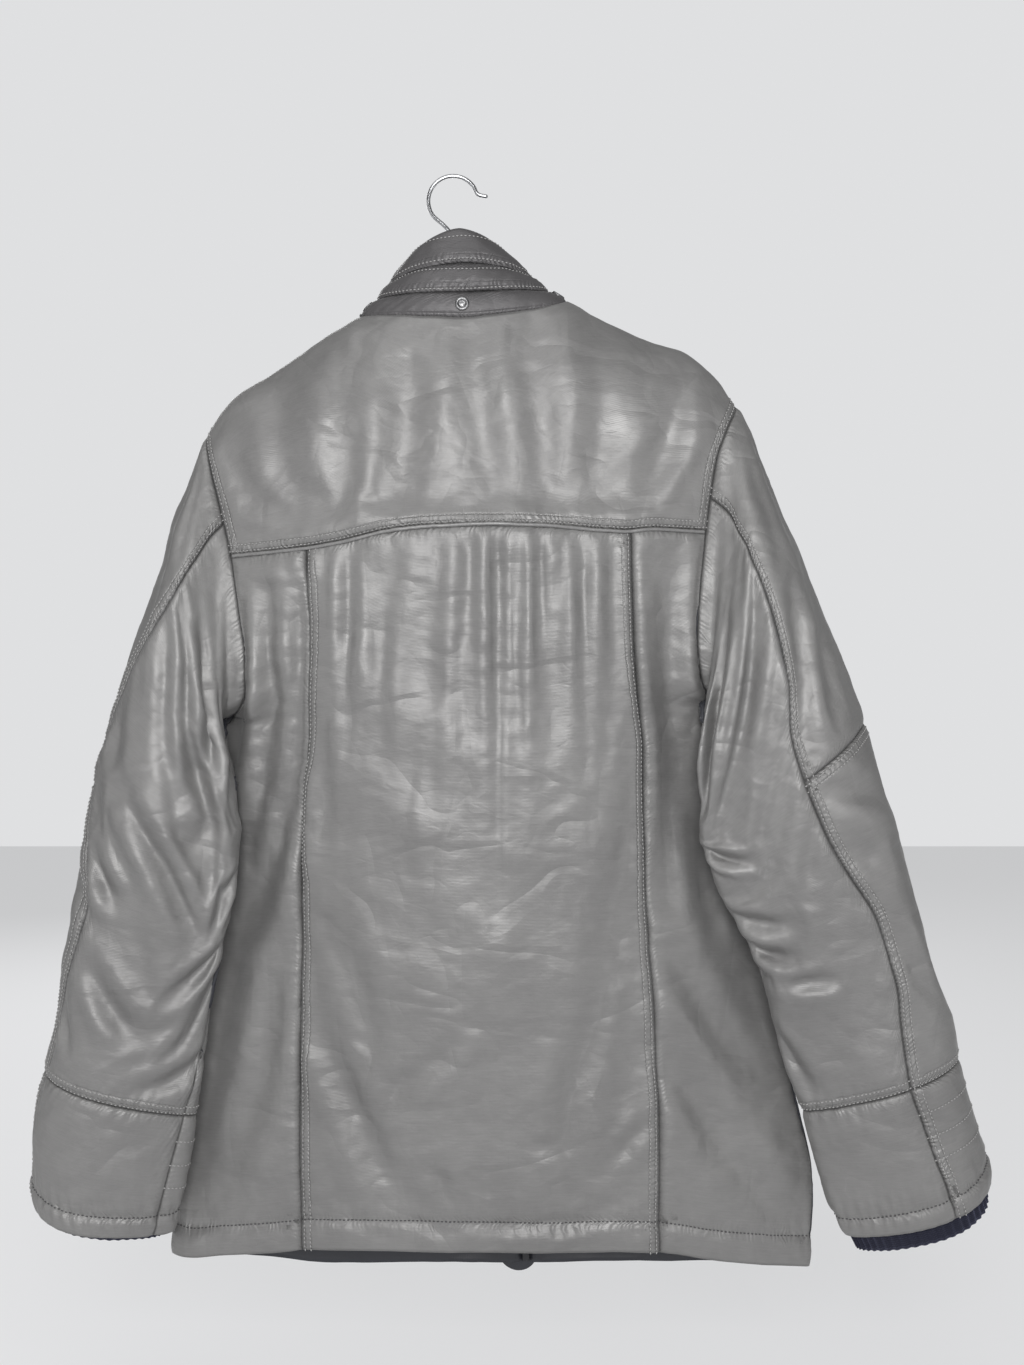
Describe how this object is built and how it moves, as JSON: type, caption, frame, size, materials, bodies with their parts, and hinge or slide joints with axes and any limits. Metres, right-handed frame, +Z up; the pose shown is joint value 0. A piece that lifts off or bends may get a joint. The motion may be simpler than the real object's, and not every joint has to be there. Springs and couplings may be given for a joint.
{
  "type": "padded jacket on a hanger",
  "caption": "Grey padded jacket with a stand-up collar, yoke and panelled sleeves, zipped up and hung by its shoulders on a hanger with a wire hook.",
  "frame": {"origin": "inner top of the hanger's hook, where the rail or peg touches it", "axes": "+Z up, the jacket's back faces -Y, +X is the wearer's right"},
  "size_m": [0.7966, 0.1201, 0.939],
  "materials": {
    "shell": "satin woven shell, fine cross ribs",
    "collar": "darker satin shell",
    "knit": "matte navy rib knit",
    "zip": "dark zip tape and teeth",
    "hanger": "plain dark hanger bar",
    "hook": "polished wire",
    "snap": "dark ring snap"
  },
  "bodies": {
    "root": {"yoke_back": "shell", "back_centre": "shell", "back_side_left": "shell", "back_side_right": "shell", "front_left": "shell", "front_right": "shell", "placket": "shell", "yoke_piping": "shell", "sleeve_under_left": "shell", "sleeve_top_upper_left": "shell", "sleeve_top_lower_left": "shell", "cuff_under_left": "shell", "cuff_top_left": "shell", "sleeve_under_right": "shell", "sleeve_top_upper_right": "shell", "sleeve_top_lower_right": "shell", "cuff_under_right": "shell", "cuff_top_right": "shell", "collar_base": "collar", "collar_middle": "collar", "collar_upper": "collar", "knit_cuff_left": "knit", "knit_cuff_right": "knit", "zip": "zip", "hanger_body": "hanger", "hanger_hook": "hook", "snap_back": "snap", "snap_left": "snap", "snap_right": "snap"}
  },
  "joints": []
}
